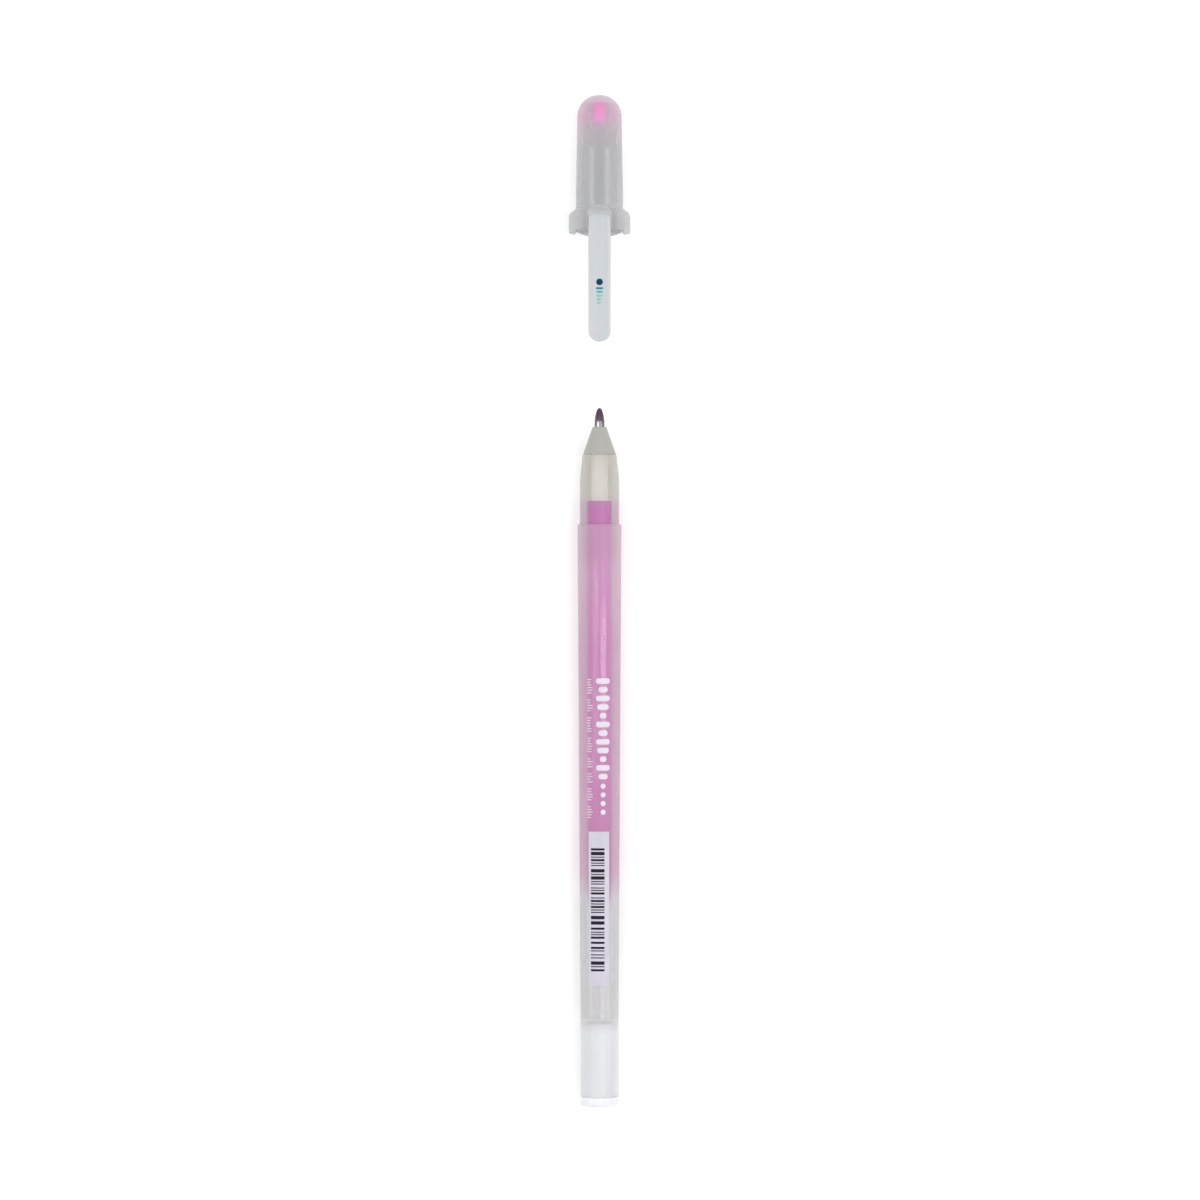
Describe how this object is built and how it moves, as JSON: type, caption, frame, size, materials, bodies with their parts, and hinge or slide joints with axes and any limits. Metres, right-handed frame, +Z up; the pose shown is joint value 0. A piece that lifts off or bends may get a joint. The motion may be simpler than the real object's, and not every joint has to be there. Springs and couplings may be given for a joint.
{
  "type": "gel pen",
  "caption": "Capped gel pen with a frosted tapered barrel, pink ink tube, metal rolling-ball point, pull-off cap with winged collar and a springy clip.",
  "frame": {"origin": "centre of the bounding box's bottom, on the surface that the pen lies on", "axes": "+Y along the pen from its rear end to the cap's dome, +Z up through the clip, +X across the collar's wings"},
  "size_m": [0.0126, 0.2082, 0.0117],
  "materials": {
    "frosted_barrel": "frosted translucent polypropylene",
    "frosted_nose": "frosted translucent polypropylene",
    "frosted_cap": "frosted translucent polypropylene",
    "frosted_clip": "frosted translucent polypropylene",
    "white_plastic": "moulded, satin",
    "clear_tube": "clear extruded tube",
    "gel_ink": "wet opaque gel",
    "follower_gel": "clear grease",
    "point_steel": "turned and polished",
    "ball_carbide": "ground ball, wet with ink",
    "seal_elastomer": "soft elastomer"
  },
  "bodies": {
    "pen": {"barrel": "frosted_barrel", "front_section": "frosted_nose", "tip_holder": "white_plastic", "tip_point": "point_steel", "ink_tube": "clear_tube", "gel_ink": "gel_ink", "end_plug": "white_plastic"},
    "cap": {"cap_shell": "frosted_cap", "tip_seal": "seal_elastomer"},
    "clip": {"clip": "frosted_clip"},
    "ball": {"tip_ball": "ball_carbide"},
    "follower": {"ink_follower": "follower_gel"}
  },
  "joints": [
    {"name": "cap_slide", "type": "slide", "parent": "pen", "child": "cap", "axis": [0, 1, 0], "range_m": [-0.0594, 0]},
    {"name": "clip_flex", "type": "hinge", "parent": "cap", "child": "clip", "pos_m": [0, 0.07587, 0.01105], "axis": [-1, 0, 0], "range_deg": [0, 5], "stiffness_Nm_per_rad": 0.6},
    {"name": "ball_roll", "type": "hinge", "parent": "pen", "child": "ball", "pos_m": [0, 0.03907, 0.0052], "axis": [1, 0, 0], "continuous": true},
    {"name": "ink_feed", "type": "slide", "parent": "pen", "child": "follower", "axis": [0, 1, 0], "range_m": [0, 0.0805], "deforming": ["gel_ink"]}
  ]
}
